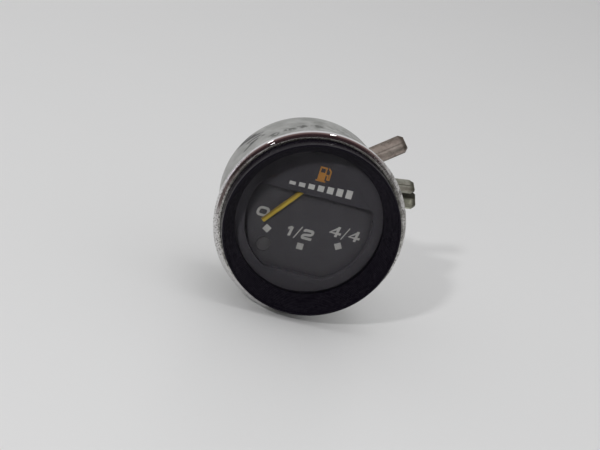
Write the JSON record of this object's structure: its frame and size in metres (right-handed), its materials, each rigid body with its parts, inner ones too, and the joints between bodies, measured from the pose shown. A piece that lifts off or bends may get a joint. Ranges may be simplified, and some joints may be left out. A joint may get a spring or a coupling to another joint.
{
  "type": "fuel gauge",
  "caption": "Round panel fuel gauge with chrome bezel, black visor ring, swinging pointer, two push-in lamps, rear studs with knurled nuts and blade terminals.",
  "frame": {"origin": "centre of the panel plane, the bezel's rear face, on the body's axis", "axes": "+Y to the rear along the body's axis, the dial faces -Y, +Z to the top of the dial"},
  "size_m": [0.0655, 0.0493, 0.0576],
  "materials": {
    "zinc_case": "zinc plated, dull and stained",
    "chrome_bezel": "polished, edge worn",
    "black_visor": "satin black with fine turned rings",
    "black_rubber": "matt",
    "clear_glass": "clear",
    "grey_card": "matt dark grey",
    "mask_paint": "matt dark grey",
    "amber_print": "matt print",
    "white_print": "matt print",
    "scale_paint": "matt dark grey",
    "dark_lens": "dark translucent red",
    "cream_plastic": "moulded",
    "frame_steel": "plated",
    "brass": "turned",
    "screw_steel": "plated",
    "copper_wire": "enamelled copper",
    "soft_iron": "plain",
    "phenolic_board": "laminated board",
    "tinned_blade": "tinned, tarnished brown grey",
    "stud_steel": "plated, threaded",
    "spring_steel": "plain",
    "nut_brass": "knurled, dull",
    "lamp_brass": "pressed, dull",
    "dark_phenolic": "moulded",
    "bulb_brass": "bright",
    "bulb_glass": "clear",
    "hub_black": "moulded",
    "needle_paint": "matt yellow paint"
  },
  "bodies": {
    "case": {"case_can": "zinc_case", "bezel": "chrome_bezel", "visor_ring": "black_visor", "glass_seal": "black_rubber", "front_glass": "clear_glass", "spacer_ring": "grey_card", "mask_plate": "mask_paint", "pump_symbol": "amber_print", "level_bars": "white_print", "scale_plate": "scale_paint", "scale_marks": "white_print", "scale_numerals": "white_print", "reserve_lens": "dark_lens", "light_tube": "cream_plastic", "base_plate": "frame_steel", "frame_pillars": "brass", "front_bridge": "frame_steel", "dial_screws": "screw_steel", "front_bush": "brass", "rear_bush": "brass", "bush_nut": "brass", "stop_pins": "screw_steel", "bobbin_left": "cream_plastic", "bobbin_right": "cream_plastic", "winding_left": "copper_wire", "winding_right": "copper_wire", "core_left": "soft_iron", "core_right": "soft_iron", "coil_leads": "copper_wire", "inner_insulator": "phenolic_board", "terminal_board": "phenolic_board", "sender_terminal": "tinned_blade", "supply_terminal": "tinned_blade", "earth_terminal": "tinned_blade", "terminal_rivets": "brass", "mounting_studs": "stud_steel", "flat_washers": "stud_steel", "lock_washers": "spring_steel"},
    "pointer": {"spindle": "screw_steel", "armature": "soft_iron", "counterweight": "brass", "needle_hub": "hub_black", "needle": "needle_paint"},
    "dial_lamp": {"dial_lamp_shell": "lamp_brass", "dial_lamp_insulator": "dark_phenolic", "dial_lamp_contact": "tinned_blade", "dial_bulb_cap": "bulb_brass", "dial_bulb_glass": "bulb_glass"},
    "reserve_lamp": {"reserve_lamp_shell": "lamp_brass", "reserve_lamp_insulator": "dark_phenolic", "reserve_lamp_contact": "tinned_blade", "reserve_bulb_cap": "bulb_brass", "reserve_bulb_glass": "bulb_glass"},
    "nut_top": {"knurled_nut_top": "nut_brass"},
    "nut_bottom": {"knurled_nut_bottom": "nut_brass"}
  },
  "joints": [
    {"name": "pointer_swing", "type": "hinge", "parent": "case", "child": "pointer", "pos_m": [0, 0.00345, 0.0139], "axis": [0, -1, 0], "range_deg": [0, 70]},
    {"name": "dial_lamp_pull", "type": "slide", "parent": "case", "child": "dial_lamp", "axis": [0, 1, 0], "range_m": [0, 0.022]},
    {"name": "reserve_lamp_pull", "type": "slide", "parent": "case", "child": "reserve_lamp", "axis": [0, 1, 0], "range_m": [0, 0.022]},
    {"name": "nut_top_spin", "type": "hinge", "parent": "case", "child": "nut_top", "pos_m": [0, 0.031, 0.0185], "axis": [0, 1, 0], "continuous": true},
    {"name": "nut_bottom_spin", "type": "hinge", "parent": "case", "child": "nut_bottom", "pos_m": [0, 0.031, -0.0185], "axis": [0, 1, 0], "continuous": true}
  ]
}
